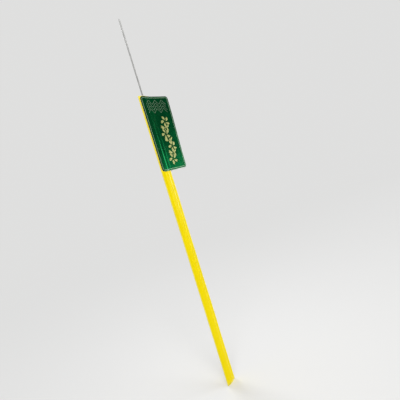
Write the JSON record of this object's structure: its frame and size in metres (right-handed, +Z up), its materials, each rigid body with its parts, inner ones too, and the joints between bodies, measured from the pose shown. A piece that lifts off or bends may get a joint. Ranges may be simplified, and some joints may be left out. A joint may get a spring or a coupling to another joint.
{
  "type": "lei needle",
  "caption": "Straight steel flower-stringing needle with a turned-back hook, in a folded card sleeve with a two-sided sticker flag round its top.",
  "frame": {"origin": "the wire's axis at the foot of the sleeve, where the pot that holds it upright carries it", "axes": "+Z up along the needle to its point, +X across the flat sleeve from the fold to the flag, -Y out of the front label"},
  "size_m": [0.0393, 0.0028, 0.3813],
  "materials": {
    "needle_steel": "drawn bright wire",
    "sleeve_card": "glossy coated yellow card",
    "label_sticker": "glossy dark green sticker, white inside"
  },
  "bodies": {
    "sleeve_body": {"sleeve": "sleeve_card", "front_label": "label_sticker", "back_label": "label_sticker"},
    "needle_body": {"needle": "needle_steel"}
  },
  "joints": [
    {"name": "needle_slide", "type": "slide", "parent": "sleeve_body", "child": "needle_body", "axis": [0, 0, 1], "range_m": [0, 0.31]}
  ]
}
